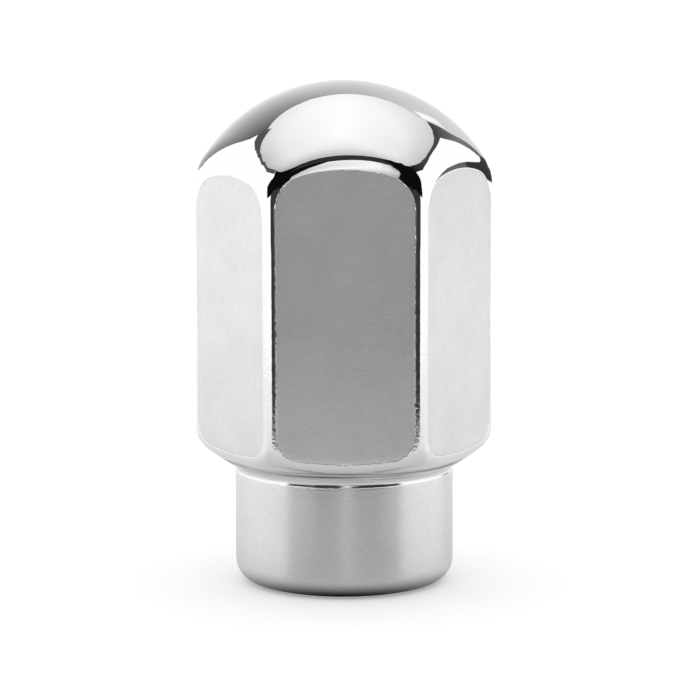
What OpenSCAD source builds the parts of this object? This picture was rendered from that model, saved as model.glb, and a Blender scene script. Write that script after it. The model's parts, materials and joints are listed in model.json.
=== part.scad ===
// Closed-end mag lug nut: one cold-formed piece of steel, chrome plated.
// It stands on its shank end. The origin is the centre of that end, with +Z towards the dome.
// A flat faces -Y, so two of the six corners lie on the X axis. All sizes are in millimetres.

/* [Hexagon] */
// Width across the flats, 13/16 inch
across_flats = 20.64; // [20:0.02:21.4]
// Radius along the six vertical edges
edge_r = 1; // [0.6:0.1:1.4]

/* [Dome] */
// Height from the shank end to the top of the dome
height = 39.85; // [39:0.05:42]
// Radius of the dome
crown_r = 13.2; // [13:0.1:14]
// Radius where the dome turns down into the corners
shoulder_r = 4.7; // [4:0.1:5]

/* [Underside] */
// Slope of the underside above the horizontal, in degrees
under_angle = 31.5; // [28:0.5:38]
// Radius between the underside and the corners
under_r = 1.8; // [1:0.1:2.5]

/* [Shank] */
// Diameter of the shank that centres the wheel
shank_d = 17.35; // [17:0.05:17.4]
// Height of the neck, where the shank meets the underside
neck_z = 9.37; // [8:0.01:10]
// Radius of the hollow fillet at the neck
neck_r = 0.35; // [0.2:0.05:0.6]
// Radius round the lower end of the shank
shank_edge_r = 1.8; // [0.5:0.1:2]

/* [Bore] */
// Diameter of the hole at the thread's crests, 29/64 inch for a 1/2-20 thread
bore_d = 11.51; // [11.3:0.01:11.6]
// Depth of the full diameter, up to where the drill's point starts
bore_depth = 31.5; // [28:0.5:32]
// Angle of the drill's point, in degrees
drill_angle = 118; // [110:2:130]
// Diameter of the countersink at the mouth
mouth_d = 13; // [12.8:0.1:13.2]
// Slope of the countersink's wall, in degrees
mouth_angle = 45; // [30:5:60]

/* [Hidden] */
$fn = 96;
sides = 6;
side_turn = 360 / sides;
flat_n = across_flats / 2; // from the axis to a flat
corner_r = (flat_n - edge_r) / cos(side_turn / 2) + edge_r; // from the axis to a rounded corner
shank_r = shank_d / 2;
proud = 0.002; // how far an arc stands past a true tangent, so that it crosses its neighbour cleanly
blank_r = corner_r + 0.03; // the blank's side clears the hexagon's corners
crown_z = height - crown_r; // height of the dome's centre
shoulder_x = blank_r - shoulder_r; // centre of the shoulder's arc
shoulder_lean = asin(shoulder_x / (crown_r - shoulder_r + proud)); // where the dome and the shoulder meet
shoulder_z = crown_z + (crown_r - shoulder_r + proud) * cos(shoulder_lean);
under_x = blank_r - under_r; // centre of the arc under the corners
under_lift = under_r - proud; // from that centre to the underside
under_z = neck_z + (under_x - shank_r) * tan(under_angle) + under_lift / cos(under_angle);
neck_reach = neck_r * tan((90 - under_angle) / 2); // from the neck to each end of its fillet

// Half section of the turned blank, before it gets its flats
module blank_section() {
    difference() {
        polygon([
            [0, 0],
            [shank_r - shank_edge_r, 0],
            [shank_r, shank_edge_r],
            [shank_r, neck_z - neck_reach],
            [shank_r + neck_reach * cos(under_angle), neck_z + neck_reach * sin(under_angle)],
            [under_x + under_lift * sin(under_angle), under_z - under_lift * cos(under_angle)],
            [blank_r - proud, under_z],
            [blank_r - proud, shoulder_z],
            [shoulder_x, shoulder_z],
            [0, crown_z + shoulder_r]
        ]);
        translate([shank_r + neck_r, neck_z - neck_reach]) circle(neck_r + proud);
    }
    translate([shank_r - shank_edge_r, shank_edge_r]) circle(shank_edge_r);
    translate([under_x, under_z]) circle(under_r);
    translate([shoulder_x, shoulder_z]) circle(shoulder_r);
    translate([0, crown_z]) intersection() {
        circle(crown_r);
        polygon([[0, 0], 2 * crown_r * [sin(shoulder_lean), cos(shoulder_lean)], [0, 2 * crown_r]]);
    }
}

// Hexagonal prism with rounded vertical edges, longer than the blank at both ends
module hexagon() {
    centre_n = flat_n - edge_r; // from the axis to the plane of an edge's centre
    half_flat = centre_n * tan(side_turn / 2);
    translate([0, 0, -1]) linear_extrude(height + 2) {
        polygon([for (i = [0 : sides - 1], s = [-1, 1]) [
            flat_n * sin(i * side_turn) + s * half_flat * cos(i * side_turn),
            s * half_flat * sin(i * side_turn) - flat_n * cos(i * side_turn)
        ]]);
        for (i = [0 : sides - 1]) rotate((i + 0.5) * side_turn)
            translate([0, -centre_n / cos(side_turn / 2)]) circle(edge_r + proud);
    }
}

// Blind hole for the thread: the drill's point at the top and a countersink at the mouth
module bore() {
    bore_r = bore_d / 2;
    mouth_r = mouth_d / 2;
    below = 1; // how far the cutters start under the shank end
    translate([0, 0, -below]) cylinder(h = bore_depth + below, r = bore_r);
    translate([0, 0, bore_depth]) cylinder(h = bore_r / tan(drill_angle / 2), r1 = bore_r, r2 = 0);
    translate([0, 0, -below])
        cylinder(h = mouth_r * tan(mouth_angle) + below, r1 = mouth_r + below / tan(mouth_angle), r2 = 0);
}

module lug_nut() {
    color("gainsboro") difference() {
        intersection() {
            rotate_extrude() blank_section();
            hexagon();
        }
        bore();
    }
}

lug_nut();
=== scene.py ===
import json
import math
from itertools import groupby

import bmesh
import bpy
from mathutils import Matrix, Vector


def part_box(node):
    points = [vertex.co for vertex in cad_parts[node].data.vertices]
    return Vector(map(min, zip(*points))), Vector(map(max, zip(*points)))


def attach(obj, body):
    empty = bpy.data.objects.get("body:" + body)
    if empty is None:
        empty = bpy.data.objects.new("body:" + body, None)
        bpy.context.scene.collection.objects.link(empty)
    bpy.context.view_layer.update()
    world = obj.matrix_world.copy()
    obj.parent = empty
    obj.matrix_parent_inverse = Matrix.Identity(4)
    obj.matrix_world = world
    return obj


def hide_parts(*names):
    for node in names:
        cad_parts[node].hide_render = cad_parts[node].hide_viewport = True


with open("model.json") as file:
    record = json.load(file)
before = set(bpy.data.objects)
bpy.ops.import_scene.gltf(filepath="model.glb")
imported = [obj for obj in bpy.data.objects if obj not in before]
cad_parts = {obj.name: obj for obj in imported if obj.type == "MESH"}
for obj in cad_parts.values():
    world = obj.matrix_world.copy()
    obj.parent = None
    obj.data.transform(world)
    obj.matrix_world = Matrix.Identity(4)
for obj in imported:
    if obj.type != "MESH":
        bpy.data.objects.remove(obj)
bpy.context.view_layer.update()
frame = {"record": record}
lowCorner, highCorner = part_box("lug_nut")
mounts = {mount["name"]: mount["dims"] for mount in frame["record"]["mounts"]}
mm = 0.001
tiny = 1e-7

# sizes in millimetres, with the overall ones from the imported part
nut = {
    "flatOut": -lowCorner.y / mm,  # from the axis to a flat
    "cornerOut": highCorner.x / mm,  # from the axis to a rounded corner
    "height": highCorner.z / mm,
    "edgeRadius": 1.0,  # along the six upright edges
    "crownRadius": 13.2,
    "shoulderRadius": 4.7,  # where the dome turns down into the corners
    "topRoll": 0.62,  # reach of a rolled edge, as a share of the depth milled off there
    "underSlope": 31.5,
    "underRadius": 1.8,
    "underRoll": 0.87,
    "neckHeight": 9.37,
    "neckRadius": 0.35,
    "neckFlare": 18.0,  # the neck's hollow runs on past upright by this much, so it is a slight groove
    "neckBead": 0.6,  # radius that brings the groove's lower side back to the shank
    "shankRadius": mounts["shank"]["r_mm"],
    "shankEdge": 1.8,
    "boreRadius": mounts["thread"]["r_mm"],
    "boreDepth": 31.5,
    "mouthRadius": 6.5,
    "drillAngle": 118.0,
    "flatColumns": 16,
    "edgeColumns": 8,
    "topStretch": 4.0,  # upright stretches that begin the dome and the underside
    "underStretch": 2.0,
    "stretchStep": 0.5,  # the steps are distances between rings
    "ringStep": 0.32,
    "neckStep": 0.06,
    "beadStep": 0.05,
    "shankStep": 1.0,
    "edgeStep": 0.3,
    "mouthStep": 0.4,
    "boreStep": 3.0,
    "crownEnd": 89.0,  # the dome's last ring, in degrees up from level
    "smoothAngle": 28.0,
}


def startPiece(name):
    # the newest primitive gets its name and goes into edit mode with nothing selected
    piece = bpy.context.object
    piece.name = name
    piece.data.name = name
    bpy.ops.object.mode_set(mode="EDIT")
    bpy.ops.mesh.select_all(action="DESELECT")
    return piece


def clearSelection():
    if bpy.context.object and bpy.context.object.mode != "OBJECT":
        bpy.ops.object.mode_set(mode="OBJECT")
    bpy.ops.object.select_all(action="DESELECT")


def editMesh():
    return bmesh.from_edit_mesh(bpy.context.edit_object.data)


def selectEdges(test):
    bpy.ops.mesh.select_mode(type="EDGE")
    bpy.ops.mesh.select_all(action="DESELECT")
    mesh = editMesh()
    for edge in mesh.edges:
        if test(edge.verts[0].co, edge.verts[1].co):
            edge.select_set(True)
    mesh.select_flush(True)
    bmesh.update_edit_mesh(bpy.context.edit_object.data)


def arc(centre, radius, start, end, step):
    # points (out, up) round an arc, by the elevation of its outward normal in degrees, without its first
    count = max(1, round(abs(math.radians(end - start)) * radius / step))
    turns = [math.radians(start + (end - start) * i / count) for i in range(1, count + 1)]
    return [(centre[0] + radius * math.cos(turn), centre[1] + radius * math.sin(turn)) for turn in turns]


def line(start, end, step):
    # points (out, up) along a straight stretch, without its first
    count = max(1, round(math.dist(start, end) / step))
    return [tuple(a + (b - a) * i / count for a, b in zip(start, end)) for i in range(1, count + 1)]


def columnOut(co):
    # from the axis to the rounded hexagon, in millimetres, at this point's bearing
    offRidge = abs((math.degrees(math.atan2(co.y, co.x)) + 30) % 60 - 30)
    centreOut = (nut["flatOut"] - nut["edgeRadius"]) / math.cos(math.radians(30))
    across = centreOut * math.sin(math.radians(offRidge))
    half = nut["edgeRadius"] / 2
    onFlat = nut["flatOut"] / math.cos(math.radians(30 - offRidge))
    touch = math.degrees(math.atan2(half, centreOut + nut["edgeRadius"] * math.cos(math.radians(30))))
    if offRidge > touch:
        return onFlat
    return centreOut * math.cos(math.radians(offRidge)) + math.sqrt(nut["edgeRadius"] ** 2 - across ** 2)


def rolledOut(turned, milled, roll):
    # the nearer of the turned surface and the milled flat, with a rolled edge where they cross
    reach = max(roll * (nut["cornerOut"] - milled), tiny)
    overlap = max(reach - abs(turned - milled), 0)
    return min(turned, milled) - overlap ** 2 / (4 * reach)


def shapeRing(turned, roll):
    # each column of the selected ring goes in or out to its own place
    mesh = editMesh()
    ring = sorted((v for v in mesh.verts if v.select), key=lambda v: round(columnOut(v.co), 4))
    columns = [list(same) for _, same in groupby(ring, key=lambda v: round(columnOut(v.co), 4))]
    for column in columns:
        bpy.ops.mesh.select_all(action="DESELECT")
        for vertex in column:
            vertex.select = True
        now = math.hypot(column[0].co.x, column[0].co.y)
        wanted = rolledOut(turned, columnOut(column[0].co), roll) * mm
        grow = wanted / now
        bpy.ops.transform.resize(value=(grow, grow, 1), center_override=(0, 0, 0))
    for vertex in ring:
        vertex.select = True
    mesh.select_flush_mode()


def followSection(points, roll):
    # the selected ring is extruded along the turned section
    for out, up in points:
        mesh = editMesh()
        height = next(v.co.z for v in mesh.verts if v.select)
        bpy.ops.mesh.extrude_region_move(TRANSFORM_OT_translate={"value": (0, 0, up * mm - height)})
        shapeRing(out, roll)


def selectRing(height):
    selectEdges(lambda a, b: abs(a.z - height) < tiny and abs(b.z - height) < tiny)
    bpy.ops.mesh.select_mode(type="VERT")


def topSection():
    crownUp = nut["height"] - nut["crownRadius"]
    shoulderOut = nut["cornerOut"] - nut["shoulderRadius"]
    join = math.degrees(math.acos(shoulderOut / (nut["crownRadius"] - nut["shoulderRadius"])))
    apart = nut["crownRadius"] - nut["shoulderRadius"]
    shoulderUp = crownUp + apart * math.sin(math.radians(join))
    step = nut["ringStep"]
    start = shoulderUp - nut["topStretch"]
    points = line((nut["cornerOut"], start), (nut["cornerOut"], shoulderUp), nut["stretchStep"])
    points += arc((shoulderOut, shoulderUp), nut["shoulderRadius"], 0, join, step)
    points += arc((0, crownUp), nut["crownRadius"], join, nut["crownEnd"], step)
    return start, points


def underSection():
    slope = math.radians(nut["underSlope"])
    underOut = nut["cornerOut"] - nut["underRadius"]
    underUp = nut["neckHeight"] + (underOut - nut["shankRadius"]) * math.tan(slope)
    underUp += nut["underRadius"] / math.cos(slope)
    step = nut["ringStep"]
    start = underUp + nut["underStretch"]
    points = line((nut["cornerOut"], start), (nut["cornerOut"], underUp), nut["stretchStep"])
    points += arc((underOut, underUp), nut["underRadius"], 0, nut["underSlope"] - 90, step)
    # the neck's hollow is tangent to the underside, and swings back out to a small bead on the shank
    flare = math.radians(nut["neckFlare"])
    groove = nut["neckBead"] * (1 - math.cos(flare))
    hollowOut = nut["shankRadius"] - groove + nut["neckRadius"] * math.cos(flare)
    hollowUp = nut["neckHeight"] + (hollowOut - nut["shankRadius"]) * math.tan(slope)
    hollowUp -= nut["neckRadius"] / math.cos(slope)
    onUnder = (
        hollowOut - nut["neckRadius"] * math.sin(slope),
        hollowUp + nut["neckRadius"] * math.cos(slope),
    )
    points += line(points[-1], onUnder, step)
    turns = (90 + nut["underSlope"], 180 + nut["neckFlare"])
    points += arc((hollowOut, hollowUp), nut["neckRadius"], *turns, nut["neckStep"])
    beadUp = points[-1][1] - nut["neckBead"] * math.sin(flare)
    beadOut = nut["shankRadius"] - nut["neckBead"]
    points += arc((beadOut, beadUp), nut["neckBead"], nut["neckFlare"], 0, nut["beadStep"])
    return start, points


def shankSection():
    edgeUp = nut["shankEdge"]
    edgeOut = nut["shankRadius"] - edgeUp
    start = (nut["shankRadius"], nut["neckHeight"] - 0.7)  # just below the bead
    points = line(start, (nut["shankRadius"], edgeUp), nut["shankStep"])
    points += arc((edgeOut, edgeUp), edgeUp, 0, -90, nut["edgeStep"])
    points += [(nut["mouthRadius"], 0)]
    sink = nut["mouthRadius"] - nut["boreRadius"]
    points += line((nut["mouthRadius"], 0), (nut["boreRadius"], sink), nut["mouthStep"])
    points += line((nut["boreRadius"], sink), (nut["boreRadius"], nut["boreDepth"]), nut["boreStep"])
    return points


def closeRing(height):
    # the last ring is drawn together into a point on the axis
    mesh = editMesh()
    now = next(v.co.z for v in mesh.verts if v.select)
    bpy.ops.mesh.extrude_region_move(TRANSFORM_OT_translate={"value": (0, 0, height * mm - now)})
    bpy.ops.mesh.merge(type="CENTER")


def makeBody():
    crispCorner = nut["flatOut"] / math.cos(math.radians(30))
    topStart, topPoints = topSection()
    underStart, underPoints = underSection()
    clearSelection()
    bpy.ops.mesh.primitive_cylinder_add(
        vertices=6,
        radius=crispCorner * mm,
        depth=(topStart - underStart) * mm,
        end_fill_type="NOTHING",
        location=(0, 0, (topStart + underStart) / 2 * mm),
        rotation=(0, 0, math.radians(30)),
    )
    bpy.ops.object.transform_apply(location=True, rotation=True, scale=True)
    body = startPiece("nut_body")
    selectEdges(lambda a, b: abs(a.z - b.z) > mm)
    bpy.ops.mesh.bevel(
        offset=nut["edgeRadius"] * math.tan(math.radians(30)) * mm,
        segments=nut["edgeColumns"],
        profile=0.5,
        affect="EDGES",
    )
    selectEdges(lambda a, b: abs(a.z - b.z) < tiny and (a - b).length > 5 * mm)
    bpy.ops.mesh.subdivide(number_cuts=nut["flatColumns"] - 1)
    selectRing(topStart * mm)
    followSection(topPoints, nut["topRoll"])
    closeRing(nut["height"])
    print("head: dome done")
    selectRing(underStart * mm)
    followSection(underPoints, nut["underRoll"])
    followSection(shankSection(), nut["underRoll"])
    closeRing(nut["boreDepth"] + nut["boreRadius"] / math.tan(math.radians(nut["drillAngle"] / 2)))
    bpy.ops.mesh.select_all(action="SELECT")
    bpy.ops.mesh.normals_make_consistent(inside=False)
    bpy.ops.object.mode_set(mode="OBJECT")
    print("head: body closed,", len(body.data.polygons), "faces")
    return body


# where the finishes end on the nut, in millimetres
outline = {
    "halfWidth": 5.28,
    "top": 33.65,
    "topCrown": 0.0395,  # how fast the top and bottom edges fall away from the middle
    "topCorner": 1.85,
    "topDrop": (0, 0.4, 0.3, 0.5, 0.2, 0.9),  # flat by flat from the front one, to the right
    "bottom": 11.1,
    "bottomCrown": 0.018,
    "bottomCorner": 1.6,
    "turningTop": 8.83,  # the satin of the shank ends just under the neck
    "marksShadeBottom": 9.3,  # tool marks and painted shade on the underside, under the head
    "marksShadeTop": 10.45,
    "marksShadeFade": 0.2,
    "bandMarks": 0.7,  # their share on the polished band below
}


def satinDepth(place):
    # how far a point lies inside the satin outline of its flat, negative outside
    bearing = math.atan2(place.x, -place.y)
    flat = round(bearing / math.radians(60))
    across = abs(math.hypot(place.x, place.y) * math.sin(bearing - flat * math.radians(60)))
    middle = (outline["top"] + outline["bottom"]) / 2
    if place.z > middle:
        edge = outline["top"] - outline["topDrop"][flat % 6] - outline["topCrown"] * across ** 2
        corner, beyond = outline["topCorner"], place.z - edge
    else:
        edge = outline["bottom"] + outline["bottomCrown"] * across ** 2
        corner, beyond = outline["bottomCorner"], edge - place.z
    sideways = across - outline["halfWidth"] + corner
    endways = beyond + corner
    outside = math.hypot(max(sideways, 0), max(endways, 0))
    return corner - outside - min(max(sideways, endways), 0)


def markFinishes(piece):
    # how deep in millimetres each point lies in the satin of its flat and in the shank's turning,
    # and how strongly the tool marks and the painted shade under the head show on the underside
    satin = piece.data.attributes.new("satin", "FLOAT", "POINT")
    turned = piece.data.attributes.new("turned", "FLOAT", "POINT")
    marksAndShade = piece.data.attributes.new("marksAndShade", "FLOAT", "POINT")
    for vertex in piece.data.vertices:
        up = vertex.co.z / mm
        satin.data[vertex.index].value = satinDepth(vertex.co / mm)
        turned.data[vertex.index].value = outline["turningTop"] - up
        marked = outline["turningTop"] < up < outline["marksShadeTop"]
        fade = min(up - outline["marksShadeBottom"], outline["marksShadeTop"] - up) / outline["marksShadeFade"]
        marksAndShade.data[vertex.index].value = max(min(fade, 1), outline["bandMarks"]) if marked else 0


# the tap that cuts the thread, in millimetres and degrees
thread = {
    "pitch": 1.27,  # 20 threads to the inch
    "rootRadius": 6.35,
    "rootFlat": 0.16,
    "flankAngle": 30.0,
    "inside": 5.5,  # the cutter starts inside the bore
    "start": -1.6,
    "end": 28.0,
    "taper": 2.5,  # length of the tap's tapered end
    "below": 4.0,  # what trims the tap starts this far below the mouth, and is this much wider
    "wider": 0.2,
    "steps": 64,
    "sides": 96,
}


def makeTap():
    # the thread's grooves as one helical coil, trimmed to a cylinder with a tapered end
    clearSelection()
    half = thread["rootFlat"] / 2
    spread = half + (thread["rootRadius"] - thread["inside"]) * math.tan(math.radians(thread["flankAngle"]))
    bpy.ops.mesh.primitive_plane_add(size=1, location=(0, 0, 0), rotation=(math.pi / 2, 0, 0))
    bpy.ops.object.transform_apply(location=True, rotation=True, scale=True)
    coil = startPiece("tap")
    mesh = editMesh()
    for vertex in mesh.verts:
        root = vertex.co.x > 0
        wide = half if root else spread
        vertex.co = Vector((
            (thread["rootRadius"] if root else thread["inside"]) * mm,
            0,
            (thread["start"] + math.copysign(wide, vertex.co.z)) * mm,
        ))
    bmesh.update_edit_mesh(coil.data)
    bpy.ops.mesh.select_all(action="SELECT")
    bpy.ops.mesh.delete(type="ONLY_FACE")
    bpy.ops.object.mode_set(mode="OBJECT")
    turn = coil.modifiers.new("turn", "SCREW")
    turn.axis = "Z"
    turn.angle = math.tau
    turn.screw_offset = thread["pitch"] * mm
    turn.iterations = round((thread["end"] - thread["start"]) / thread["pitch"])
    turn.steps = thread["steps"]
    turn.render_steps = thread["steps"]
    turn.use_merge_vertices = True
    turn.merge_threshold = tiny
    bpy.ops.object.modifier_apply(modifier=turn.name)
    bpy.ops.object.mode_set(mode="EDIT")
    bpy.ops.mesh.select_all(action="DESELECT")
    bpy.ops.mesh.select_non_manifold(extend=False)
    bpy.ops.mesh.fill_holes(sides=0)
    bpy.ops.mesh.select_all(action="SELECT")
    bpy.ops.mesh.normals_make_consistent(inside=False)
    bpy.ops.object.mode_set(mode="OBJECT")
    return coil


def cutWith(piece, tool, operation):
    clearSelection()
    piece.select_set(True)
    bpy.context.view_layer.objects.active = piece
    cut = piece.modifiers.new("cut", "BOOLEAN")
    cut.operation = operation
    cut.solver = "EXACT"
    cut.object = tool
    bpy.ops.object.modifier_apply(modifier=cut.name)
    bpy.data.objects.remove(tool)


def makeTapEnd():
    clearSelection()
    full = (thread["rootRadius"] + thread["wider"]) * mm
    bpy.ops.mesh.primitive_cylinder_add(
        vertices=thread["sides"],
        radius=full,
        depth=(thread["end"] + thread["below"]) * mm,
        location=(0, 0, (thread["end"] - thread["below"]) / 2 * mm),
    )
    bpy.ops.object.transform_apply(location=True, rotation=True, scale=True)
    end = startPiece("tap_end")
    top = thread["end"] * mm
    bpy.ops.mesh.select_mode(type="FACE")
    mesh = editMesh()
    for face in mesh.faces:
        face.select_set(face.calc_center_median().z > top - tiny)
    bpy.ops.transform.translate(value=(0, 0, -thread["taper"] * mm))
    bpy.ops.mesh.extrude_region_move(TRANSFORM_OT_translate={"value": (0, 0, thread["taper"] * mm)})
    narrow = thread["inside"] * mm / full
    bpy.ops.transform.resize(value=(narrow, narrow, 1))
    bpy.ops.object.mode_set(mode="OBJECT")
    return end


body = makeBody()
tap = makeTap()
cutWith(tap, makeTapEnd(), "INTERSECT")
cutWith(body, tap, "DIFFERENCE")
print("thread cut,", len(body.data.polygons), "faces")
bpy.ops.object.shade_smooth_by_angle(angle=math.radians(nut["smoothAngle"]))
markFinishes(body)
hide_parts("lug_nut")
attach(body, "root")


def newGroup(name, inputs, outputs):
    # a shader group with named number or vector sockets, and its two ends
    group = bpy.data.node_groups.new(name, "ShaderNodeTree")
    for socket, kind in inputs:
        group.interface.new_socket(name=socket, in_out="INPUT", socket_type=kind)
    for socket, kind in outputs:
        group.interface.new_socket(name=socket, in_out="OUTPUT", socket_type=kind)
    return group, group.nodes.new("NodeGroupInput"), group.nodes.new("NodeGroupOutput")


def addNode(tree, kind, values=(), **settings):
    node = tree.nodes.new(kind)
    for name, value in settings.items():
        setattr(node, name, value)
    for socket, value in dict(values).items():
        node.inputs[socket].default_value = value
    return node


def addMath(tree, operation, first, second=None):
    node = tree.nodes.new("ShaderNodeMath")
    node.operation = operation
    for index, value in enumerate((first, second)):
        if isinstance(value, bpy.types.NodeSocket):
            tree.links.new(value, node.inputs[index])
        elif value is not None:
            node.inputs[index].default_value = value
    return node.outputs[0]


# noise in the plate's finishes, with scales per metre
noises = {
    "waver": {"Scale": 2600, "Detail": 3, "Roughness": 0.7},
    "gaps": {"Scale": 1300, "Detail": 2},  # in the groove round the satin
    "lines": {"Detail": 3, "Roughness": 0.6},
    "broad": {"Scale": 330, "Detail": 3},
}


def makeFrayedEdge():
    # turns a depth into a crisp mask with a wavering edge, and a fine broken groove along it
    group, ends, out = newGroup(
        "FrayedEdge",
        [("Depth", "NodeSocketFloat"), ("Waver", "NodeSocketFloat"), ("Softness", "NodeSocketFloat"),
         ("Width", "NodeSocketFloat")],
        [("Mask", "NodeSocketFloat"), ("Groove", "NodeSocketFloat")],
    )
    place = addNode(group, "ShaderNodeTexCoord")
    noise = addNode(group, "ShaderNodeTexNoise", noises["waver"])
    group.links.new(place.outputs["Object"], noise.inputs["Vector"])
    aboutZero = addMath(group, "SUBTRACT", noise.outputs[0], 0.5)
    waver = addMath(group, "MULTIPLY", aboutZero, ends.outputs["Waver"])
    depth = addMath(group, "ADD", ends.outputs["Depth"], waver)
    ramp = addNode(group, "ShaderNodeMapRange", interpolation_type="SMOOTHSTEP")
    group.links.new(depth, ramp.inputs["Value"])
    group.links.new(addMath(group, "MULTIPLY", ends.outputs["Softness"], -1), ramp.inputs["From Min"])
    group.links.new(ends.outputs["Softness"], ramp.inputs["From Max"])
    group.links.new(ramp.outputs[0], out.inputs["Mask"])
    near = addNode(group, "ShaderNodeMapRange", {"To Min": 1, "To Max": 0}, interpolation_type="SMOOTHSTEP")
    group.links.new(addMath(group, "ABSOLUTE", depth), near.inputs["Value"])
    group.links.new(ends.outputs["Width"], near.inputs["From Max"])
    gaps = addNode(group, "ShaderNodeTexNoise", noises["gaps"])
    group.links.new(place.outputs["Object"], gaps.inputs["Vector"])
    broken = addNode(group, "ShaderNodeMapRange", {"From Min": 0.3, "From Max": 0.5})
    group.links.new(gaps.outputs[0], broken.inputs["Value"])
    group.links.new(addMath(group, "MULTIPLY", near.outputs[0], broken.outputs[0]), out.inputs["Groove"])
    return group


def makeLevelGrain():
    # short fine streaks that run level round the nut, over broad faint blotches, both about zero
    group, ends, out = newGroup(
        "LevelGrain",
        [("Fineness", "NodeSocketFloat"), ("Length", "NodeSocketFloat"), ("Streaks", "NodeSocketFloat"),
         ("Blotches", "NodeSocketFloat")],
        [("Grain", "NodeSocketFloat"), ("Shade", "NodeSocketFloat")],
    )
    place = addNode(group, "ShaderNodeTexCoord")
    apart = addNode(group, "ShaderNodeSeparateXYZ")
    group.links.new(place.outputs["Object"], apart.inputs[0])
    along = addMath(group, "DIVIDE", 1, ends.outputs["Length"])
    stretch = addNode(group, "ShaderNodeCombineXYZ")
    group.links.new(addMath(group, "MULTIPLY", apart.outputs[0], along), stretch.inputs[0])
    group.links.new(addMath(group, "MULTIPLY", apart.outputs[1], along), stretch.inputs[1])
    group.links.new(apart.outputs[2], stretch.inputs[2])
    lines = addNode(group, "ShaderNodeTexNoise", noises["lines"])
    group.links.new(stretch.outputs[0], lines.inputs["Vector"])
    group.links.new(ends.outputs["Fineness"], lines.inputs["Scale"])
    grain = addMath(group, "SUBTRACT", lines.outputs[0], 0.5)
    broad = addNode(group, "ShaderNodeTexNoise", noises["broad"])
    group.links.new(place.outputs["Object"], broad.inputs["Vector"])
    blotches = addMath(group, "SUBTRACT", broad.outputs[0], 0.5)
    blotches = addMath(group, "MULTIPLY", blotches, ends.outputs["Blotches"])
    shade = addMath(group, "ADD", blotches, addMath(group, "MULTIPLY", grain, ends.outputs["Streaks"]))
    group.links.new(grain, out.inputs["Grain"])
    group.links.new(addMath(group, "ADD", shade, 1), out.inputs["Shade"])
    return group


frayedEdge = makeFrayedEdge()
levelGrain = makeLevelGrain()

# lengths in millimetres
finishes = {
    "head": {
        "colour": (0.9, 0.9, 0.905),
        "satinColour": (0.8, 0.8, 0.805),
        "depth": "satin",
        "polished": 0.02,
        "rough": 0.42,
        "brushed": 0,
        "waver": (0.1, 0.3),  # high on the nut and low on it
        "scuff": 0.012,  # of the polish beside the satin, low on the nut
        "edge": {"Softness": 0.02, "Width": 0.08},
        "groove": 0.02,
        "grain": {"Fineness": 8000, "Length": 3, "Streaks": 0.25, "Blotches": 0.16},
        "grainHeight": 0.0005,
    },
    "shank": {
        "colour": (0.9, 0.9, 0.905),
        "satinColour": (0.87, 0.87, 0.875),
        "depth": "turned",
        "polished": 0.12,
        "rough": 0.36,
        "brushed": 0.8,  # turning spreads a reflection up and down, not round the shank
        "waver": (0.3, 0.3),
        "scuff": 0,
        "edge": {"Softness": 0.03, "Width": 0.08},
        "groove": 0.008,
        "grain": {"Fineness": 14000, "Length": 4, "Streaks": 0.4, "Blotches": 0.12},
        "grainHeight": 0.0002,
    },
}
# heights on the nut between which the edge of the satin and the scuffs change, and how far outside
# the satin the scuffs fade out
change = {"waver": (28, 18), "scuffs": (29, 22), "beside": (-0.7, -0.2)}
scuffGrain = {"Fineness": 3400, "Length": 1, "Streaks": 0, "Blotches": 0}
# the tool marks on the underside: rings that stand this high, and painted shade under the head that darkens
# the plate's colour, broken up by the rings
marksAndShade = {
    "grain": {"Fineness": 5500, "Length": 60, "Streaks": 4.5, "Blotches": 0.8},
    "shade": 0.62,
    "height": 0.035,
}
quarterTurn = 0.25  # turns the brushed reflection from round the shank to up and down it
steel = {
    "colour": (0.5, 0.49, 0.47),
    "rough": 0.38,
    "grain": {"Fineness": 7000, "Length": 8, "Streaks": 0.4, "Blotches": 0.5},
    "grainHeight": 0.003,
}


def placeGroup(tree, group, values):
    node = tree.nodes.new("ShaderNodeGroup")
    node.node_tree = group
    for socket, value in values.items():
        node.inputs[socket].default_value = value
    return node


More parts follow.
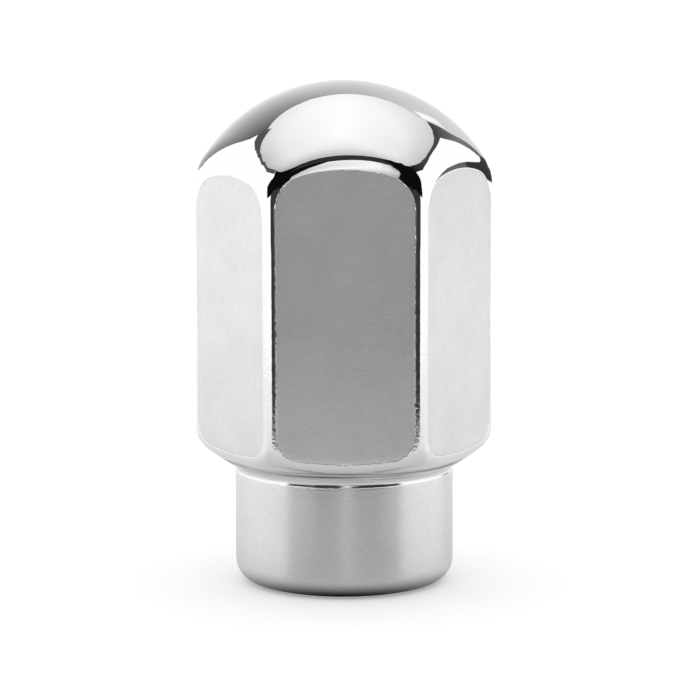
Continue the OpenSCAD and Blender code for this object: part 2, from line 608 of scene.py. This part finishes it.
def makeChrome(name, finish):
    material = bpy.data.materials.new(name)
    material.use_nodes = True
    tree = material.node_tree
    shader = tree.nodes["Principled BSDF"]
    shader.inputs["Metallic"].default_value = 1
    shader.inputs["Anisotropic"].default_value = finish["brushed"]
    shader.inputs["Anisotropic Rotation"].default_value = quarterTurn
    depth = addNode(tree, "ShaderNodeAttribute", attribute_name=finish["depth"])
    edge = placeGroup(tree, frayedEdge, finish["edge"])
    tree.links.new(depth.outputs["Fac"], edge.inputs["Depth"])
    place = addNode(tree, "ShaderNodeTexCoord")
    apart = addNode(tree, "ShaderNodeSeparateXYZ")
    tree.links.new(place.outputs["Object"], apart.inputs[0])
    top, bottom = change["waver"]
    high, low = finish["waver"]
    spread = {"From Min": top * mm, "From Max": bottom * mm, "To Min": high, "To Max": low}
    waver = addNode(tree, "ShaderNodeMapRange", spread)
    tree.links.new(apart.outputs[2], waver.inputs["Value"])
    tree.links.new(waver.outputs[0], edge.inputs["Waver"])
    mask = edge.outputs["Mask"]
    grain = placeGroup(tree, levelGrain, finish["grain"])
    # satin colour with its grain and blotches, against the clear plate
    satin = addNode(tree, "ShaderNodeVectorMath", operation="SCALE")
    satin.inputs[0].default_value = finish["satinColour"]
    tree.links.new(grain.outputs["Shade"], satin.inputs["Scale"])
    colour = addNode(tree, "ShaderNodeMix", data_type="RGBA")
    colour.inputs[6].default_value = (*finish["colour"], 1)
    tree.links.new(mask, colour.inputs[0])
    tree.links.new(satin.outputs[0], colour.inputs[7])
    # painted shade under the head darkens the underside's colour, broken up by the rings left by the tool
    shown = addNode(tree, "ShaderNodeAttribute", attribute_name="marksAndShade")
    rings = placeGroup(tree, levelGrain, marksAndShade["grain"])
    ringsAndShade = addNode(tree, "ShaderNodeMix")
    ringsAndShade.inputs[2].default_value = 1
    shadeShare = addNode(tree, "ShaderNodeMapRange", {"From Min": outline["bandMarks"]})
    tree.links.new(shown.outputs["Fac"], shadeShare.inputs["Value"])
    tree.links.new(shadeShare.outputs[0], ringsAndShade.inputs[0])
    tree.links.new(addMath(tree, "MULTIPLY", rings.outputs["Shade"], marksAndShade["shade"]), ringsAndShade.inputs[3])
    shaded = addNode(tree, "ShaderNodeVectorMath", operation="SCALE")
    tree.links.new(colour.outputs[2], shaded.inputs[0])
    tree.links.new(ringsAndShade.outputs[0], shaded.inputs["Scale"])
    tree.links.new(shaded.outputs[0], shader.inputs["Base Color"])
    rough = addNode(tree, "ShaderNodeMapRange", {"To Min": finish["polished"], "To Max": finish["rough"]})
    tree.links.new(mask, rough.inputs["Value"])
    tree.links.new(rough.outputs[0], shader.inputs["Roughness"])
    # heights in millimetres: the satin's grain, the groove round it, the scuffs beside it low on the
    # nut, and the tool marks on the underside
    height = addMath(tree, "MULTIPLY", grain.outputs["Grain"], mask)
    height = addMath(tree, "MULTIPLY", height, finish["grainHeight"])
    groove = addMath(tree, "MULTIPLY", edge.outputs["Groove"], finish["groove"])
    height = addMath(tree, "SUBTRACT", height, groove)
    scuffs = placeGroup(tree, levelGrain, scuffGrain)
    far, near = change["beside"]
    beside = addNode(tree, "ShaderNodeMapRange", {"From Min": far, "From Max": near})
    tree.links.new(depth.outputs["Fac"], beside.inputs["Value"])
    top, bottom = change["scuffs"]
    spread = {"From Min": top * mm, "From Max": bottom * mm, "To Max": finish["scuff"]}
    lower = addNode(tree, "ShaderNodeMapRange", spread)
    tree.links.new(apart.outputs[2], lower.inputs["Value"])
    scuff = addMath(tree, "MULTIPLY", beside.outputs[0], lower.outputs[0])
    scuff = addMath(tree, "MULTIPLY", scuff, scuffs.outputs["Grain"])
    height = addMath(tree, "ADD", height, scuff)
    cut = addMath(tree, "MULTIPLY", rings.outputs["Grain"], shown.outputs["Fac"])
    height = addMath(tree, "ADD", height, addMath(tree, "MULTIPLY", cut, marksAndShade["height"]))
    bump = addNode(tree, "ShaderNodeBump", {"Strength": 1, "Distance": mm})
    tree.links.new(height, bump.inputs["Height"])
    tree.links.new(bump.outputs[0], shader.inputs["Normal"])
    return material


def makeSteel(name):
    material = bpy.data.materials.new(name)
    material.use_nodes = True
    tree = material.node_tree
    shader = tree.nodes["Principled BSDF"]
    shader.inputs["Metallic"].default_value = 1
    shader.inputs["Roughness"].default_value = steel["rough"]
    grain = placeGroup(tree, levelGrain, steel["grain"])
    tint = addNode(tree, "ShaderNodeVectorMath", operation="SCALE")
    tint.inputs[0].default_value = steel["colour"]
    tree.links.new(grain.outputs["Shade"], tint.inputs["Scale"])
    tree.links.new(tint.outputs[0], shader.inputs["Base Color"])
    bump = addNode(tree, "ShaderNodeBump", {"Strength": 1, "Distance": steel["grainHeight"] * mm})
    tree.links.new(grain.outputs["Grain"], bump.inputs["Height"])
    tree.links.new(bump.outputs[0], shader.inputs["Normal"])
    return material


def paintBody(piece):
    for material in (
        makeChrome("head_chrome", finishes["head"]),
        makeChrome("shank_chrome", finishes["shank"]),
        makeSteel("bore_steel"),
    ):
        piece.data.materials.append(material)
    neck = (nut["neckHeight"] - nut["neckRadius"] / 2) * mm
    wall = nut["height"] * 0.9 * mm  # between the drill's point and the top of the dome
    for face in piece.data.polygons:
        centre = face.center
        inBore = math.hypot(centre.x, centre.y) < nut["mouthRadius"] * mm and centre.z < wall
        inward = centre.x * face.normal.x + centre.y * face.normal.y < 0
        if inBore and (inward or face.normal.z < -0.1 or centre.z > neck):
            face.material_index = 2
        elif centre.z < neck:
            face.material_index = 1


paintBody(body)
print("finishes done")

# the camera's place in millimetres, its angles in degrees, and its lens
view = {
    "place": (-2.77, -239.98, 53.7),
    "turn": 0.777,
    "down": 8.359,
    "roll": -0.124,
    "lens": 157.03,
    "sensor": 36,
    "nearest": 10,  # millimetres
}


def makeCamera():
    cameraData = bpy.data.cameras.new("camera")
    cameraData.lens = view["lens"]
    cameraData.sensor_width = view["sensor"]
    cameraData.clip_start = view["nearest"] * mm
    camera = bpy.data.objects.new("camera", cameraData)
    bpy.context.scene.collection.objects.link(camera)
    place = Matrix.Translation(Vector(view["place"]) * mm)
    turn = Matrix.Rotation(math.radians(-view["turn"]), 4, "Z")
    down = Matrix.Rotation(math.radians(90 - view["down"]), 4, "X")
    roll = Matrix.Rotation(math.radians(view["roll"]), 4, "Z")
    camera.matrix_world = place @ turn @ down @ roll
    bpy.context.scene.camera = camera


makeCamera()

# the studio: a white floor and room, with cards round it that only the chrome reflects
studio = {
    "floorSize": 12.0,
    "floorShade": 0.9,
    "floorGlow": 0.2,  # lifts the floor to white for the camera and for reflections
    "cardColumns": 60,
    "cardRows": 20,
    "skyDistance": 0.75,  # metres to the first card, and each later one hangs nearer by the step
    "cardStep": 0.012,
    "lowCardAway": 80.0,  # millimetres
}

# each card is a patch of a sphere about the dome: bearings from the camera's side, positive to the right,
# elevations and brightness, given as rows from bottom to top with even steps along each
cards = {
    "sky": {
        "bearing": ((-180, 180),),
        "rise": ((28,), (90,)),
        "light": ((1, 0.1, 0.5, 0.1, 1), (1.1, 0.9, 0.9, 0.9, 1.1), (1.1,)),
    },
    "box_left": {
        "bearing": ((-134, -58),),
        "rise": ((-3,), (46, 40)),
        "light": ((1.1,),),
    },
    "box_right": {
        "bearing": ((57, 134), (66, 134)),
        "rise": ((0,), (44, 44, 38)),
        "light": ((1.1,),),
    },
    "flag": {
        "bearing": ((-62, 58), (-62, 70)),
        "rise": ((-2,), (42, 34, 30, 35, 45, 49, 46)),
        "light": ((0.004,),),
    },
    "gap": {
        "bearing": ((-4, 3), (-3.5, 13), (-2, 16)),
        "rise": ((-2,), (9, 13), (18, 24, 28)),
        "light": ((0.4, 1.1, 0.4), (1, 1, 0.4)),
    },
    "strip_left": {
        "bearing": ((-131, -64),),
        "rise": ((44, 40, 37), (50, 45, 43)),
        "light": ((0.09,),),
    },
    "strip_right": {
        "bearing": ((66, 134),),
        "rise": ((38, 42, 36), (49, 46, 40)),
        "light": ((0.01, 0.07, 0.07),),
    },
    "strip_front": {
        "bearing": ((-12, 18),),
        "rise": ((16, 22, 29), (25, 33, 36, 40)),
        "light": ((0.033,),),
    },
    "edge_right": {
        "bearing": ((134, 150), (133, 146), (131, 144)),
        "rise": ((-3,), (22,), (40, 38)),
        "light": ((0.1,), (0.2,), (0.05,)),
    },
    "back": {
        "bearing": ((145, 231),),
        "rise": ((1,), (22,), (41, 46, 48)),
        "light": ((0.7, 1, 0.3), (0.7, 0.1)),
    },
    "spot": {
        "bearing": ((146, 152),),
        "rise": ((28,), (38,)),
        "light": ((0.95,), (1.1,)),
    },
    "patch_end": {
        "distance": 0.25,
        "bearing": ((119.5, 121.2),),
        "rise": ((-6,), (-3.6, -2.2)),
        "light": ((0.14,),),
    },
    "patch_right": {
        "distance": 0.25,
        "bearing": ((121, 151),),
        "rise": ((-5,), (-2.5, 5, 8, 5)),
        "light": ((0.035, 0.05, 0.07),),
    },
}

# low cards stand on the floor in front, black ones with a lower pale one between them
lowCards = {
    "low_left": {"left": -48, "right": -8, "height": 31, "light": 0.04},
    "low_middle": {"left": -8, "right": 9, "height": 19, "light": 0.3},
    "low_right": {"left": 9, "right": 66, "height": 31, "light": 0.04},
}

# a round card lies on the floor that only the chrome reflects, with the floor's shade painted on it: a
# painted contact shadow dark near the nut and painted shade darker in front; distances from the axis in
# millimetres, with the brightness there straight in front and at the sides and behind
groundShadeCard = {
    "radius": (6, 8, 10, 20, 60, 140),
    "front": (0, 0, 0.5, 0.6, 0.7, 1),
    "side": (0, 0.3, 0.6, 0.7, 0.9, 1),
    "columns": 96,
    "up": 0.05,
}


def alongList(values, share):
    # the value at this share of the way along an evenly stepped list
    if len(values) == 1:
        return values[0]
    spot = share * (len(values) - 1)
    first = min(int(spot), len(values) - 2)
    return values[first] + (values[first + 1] - values[first]) * (spot - first)


def acrossRows(rows, across, up):
    return alongList([alongList(row, across) for row in rows], up)


def hangCard(piece, glow):
    # a card lights only what mirrors it
    piece.data.materials.append(glow)
    piece.visible_camera = False
    piece.visible_diffuse = False
    piece.visible_shadow = False


def brightness(piece):
    return piece.data.attributes.new("light", "FLOAT", "POINT").data


def makeGlow():
    glow = bpy.data.materials.new("card_glow")
    glow.use_nodes = True
    tree = glow.node_tree
    tree.nodes.clear()
    level = addNode(tree, "ShaderNodeAttribute", attribute_name="light")
    light = tree.nodes.new("ShaderNodeEmission")
    tree.links.new(level.outputs["Fac"], light.inputs["Strength"])
    output = tree.nodes.new("ShaderNodeOutputMaterial")
    tree.links.new(light.outputs[0], output.inputs["Surface"])
    return glow


def makeCard(name, card, distance, glow):
    clearSelection()
    columns, rows = studio["cardColumns"], studio["cardRows"]
    bpy.ops.mesh.primitive_grid_add(x_subdivisions=columns, y_subdivisions=rows, size=1)
    piece = bpy.context.object
    piece.name = name
    light = brightness(piece)
    for vertex in piece.data.vertices:
        across, up = vertex.co.x + 0.5, vertex.co.y + 0.5
        turn = math.radians(acrossRows(card["bearing"], across, up))
        rise = math.radians(acrossRows(card["rise"], across, up))
        light[vertex.index].value = acrossRows(card["light"], across, up)
        level = math.cos(rise) * distance
        vertex.co = (
            level * math.sin(turn),
            -level * math.cos(turn),
            domeCentre + distance * math.sin(rise),
        )
    hangCard(piece, glow)


def makeGroundCard(name, glow):
    clearSelection()
    rings = len(groundShadeCard["radius"]) - 1
    bpy.ops.mesh.primitive_grid_add(x_subdivisions=groundShadeCard["columns"], y_subdivisions=rings, size=1)
    piece = bpy.context.object
    piece.name = name
    light = brightness(piece)
    for vertex in piece.data.vertices:
        across, up = vertex.co.x + 0.5, vertex.co.y + 0.5
        out = alongList(groundShadeCard["radius"], up) * mm
        turn = math.radians(360 * across - 180)
        side = alongList(groundShadeCard["side"], up)
        front = alongList(groundShadeCard["front"], up)
        # painted shade of the floor: dark round the nut's foot and darker in front than at the sides
        light[vertex.index].value = side + (front - side) * max(0, math.cos(turn))
        vertex.co = (out * math.sin(turn), -out * math.cos(turn), groundShadeCard["up"] * mm)
    hangCard(piece, glow)


def makeLowCard(name, card, glow):
    clearSelection()
    middle = (card["left"] + card["right"]) / 2
    bpy.ops.mesh.primitive_plane_add(
        size=1,
        location=(middle * mm, -studio["lowCardAway"] * mm, card["height"] / 2 * mm),
        rotation=(math.pi / 2, 0, 0),
    )
    piece = bpy.context.object
    piece.name = name
    piece.scale = ((card["right"] - card["left"]) * mm, card["height"] * mm, 1)
    bpy.ops.object.transform_apply(location=True, rotation=True, scale=True)
    for point in brightness(piece):
        point.value = card["light"]
    hangCard(piece, glow)


def cameraAndMirrors(tree):
    # 1 for what the camera sees, directly, in a mirror or through glass
    path = tree.nodes.new("ShaderNodeLightPath")
    seen = addMath(tree, "ADD", path.outputs["Is Camera Ray"], path.outputs["Is Glossy Ray"])
    return addMath(tree, "MINIMUM", addMath(tree, "ADD", seen, path.outputs["Is Transmission Ray"]), 1)


def makeFloor():
    clearSelection()
    bpy.ops.mesh.primitive_plane_add(size=studio["floorSize"])
    floor = bpy.context.object
    floor.name = "floor"
    material = bpy.data.materials.new("floor")
    material.use_nodes = True
    tree = material.node_tree
    shader = tree.nodes["Principled BSDF"]
    shade = studio["floorShade"]
    shader.inputs["Base Color"].default_value = (shade, shade, shade, 1)
    shader.inputs["Roughness"].default_value = 1
    shader.inputs["Specular IOR Level"].default_value = 0
    shader.inputs["Emission Color"].default_value = (1, 1, 1, 1)
    glow = addMath(tree, "MULTIPLY", cameraAndMirrors(tree), studio["floorGlow"])
    tree.links.new(glow, shader.inputs["Emission Strength"])
    floor.data.materials.append(material)


def makeRoom():
    world = bpy.data.worlds.new("room")
    bpy.context.scene.world = world
    world.use_nodes = True
    tree = world.node_tree
    tree.nodes.clear()
    light = addNode(tree, "ShaderNodeBackground", {"Color": (1, 1, 1, 1), "Strength": 1})
    output = tree.nodes.new("ShaderNodeOutputWorld")
    tree.links.new(light.outputs[0], output.inputs["Surface"])


domeCentre = (nut["height"] - nut["crownRadius"] / 2) * mm
makeRoom()
makeFloor()
cardGlow = makeGlow()
for index, (cardName, card) in enumerate(cards.items()):
    away = studio["skyDistance"] - studio["cardStep"] * index
    makeCard(cardName, card, card.get("distance", away), cardGlow)
makeGroundCard("ground_shade", cardGlow)
for cardName, card in lowCards.items():
    makeLowCard(cardName, card, cardGlow)
print("studio done")

bpy.context.scene.view_settings.view_transform = "Standard"
